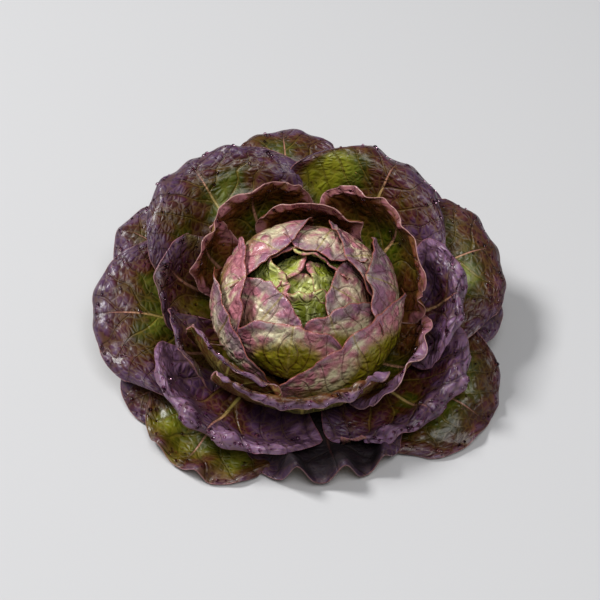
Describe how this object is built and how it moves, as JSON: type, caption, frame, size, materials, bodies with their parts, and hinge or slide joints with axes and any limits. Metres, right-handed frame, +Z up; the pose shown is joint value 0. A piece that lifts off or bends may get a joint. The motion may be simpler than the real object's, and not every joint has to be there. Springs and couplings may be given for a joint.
{
  "type": "red leaf lettuce",
  "caption": "Whole head of red butterhead lettuce: rings of broad dark purple leaves round a closed pink and green heart, resting on its cut stem and leaning forward.",
  "frame": {"origin": "centre of the stem's cut face, on the surface that the head rests on", "axes": "+Z up; -Y is the front, the side that the head leans towards and that the picture sees; +X is to the right of that view"},
  "size_m": [0.2751, 0.2613, 0.0988],
  "materials": {
    "outer_leaf": "waxy wet leaf, dark purple at the rim and olive green at the foot",
    "second_leaf": "waxy wet leaf, violet and shiny on the rolled rim",
    "wrapper_leaf": "satin leaf, pink rim over olive green",
    "heart_leaf": "satin blistered leaf, pink and mauve over pale yellow green",
    "centre_leaf": "satin leaf, bright yellow green",
    "stem": "dull moist cut stem, pale green"
  },
  "bodies": {
    "root": {"stem": "stem", "outer_leaf_01": "outer_leaf", "outer_leaf_02": "outer_leaf", "outer_leaf_03": "outer_leaf", "outer_leaf_04": "outer_leaf", "outer_leaf_05": "outer_leaf", "outer_leaf_06": "outer_leaf", "outer_leaf_07": "outer_leaf", "outer_leaf_08": "outer_leaf", "outer_leaf_09": "outer_leaf", "outer_leaf_10": "outer_leaf", "outer_leaf_11": "outer_leaf", "outer_leaf_12": "outer_leaf", "second_leaf_01": "second_leaf", "second_leaf_02": "second_leaf", "second_leaf_03": "second_leaf", "second_leaf_04": "second_leaf", "second_leaf_05": "second_leaf", "wrapper_leaf_01": "wrapper_leaf", "wrapper_leaf_02": "wrapper_leaf", "wrapper_leaf_03": "wrapper_leaf", "wrapper_leaf_04": "wrapper_leaf", "wrapper_leaf_05": "wrapper_leaf", "wrapper_leaf_06": "wrapper_leaf", "wrapper_leaf_07": "wrapper_leaf", "heart_leaf_01": "heart_leaf", "heart_leaf_02": "heart_leaf", "heart_leaf_03": "heart_leaf", "heart_leaf_04": "heart_leaf", "heart_leaf_05": "heart_leaf", "heart_leaf_06": "heart_leaf", "heart_leaf_07": "heart_leaf", "heart_leaf_08": "heart_leaf", "heart_leaf_09": "heart_leaf", "heart_leaf_10": "heart_leaf", "heart_leaf_11": "heart_leaf", "heart_leaf_12": "heart_leaf", "centre_leaf_01": "centre_leaf", "centre_leaf_02": "centre_leaf", "centre_leaf_03": "centre_leaf", "centre_leaf_04": "centre_leaf", "centre_leaf_05": "centre_leaf", "centre_leaf_06": "centre_leaf"}
  },
  "joints": []
}
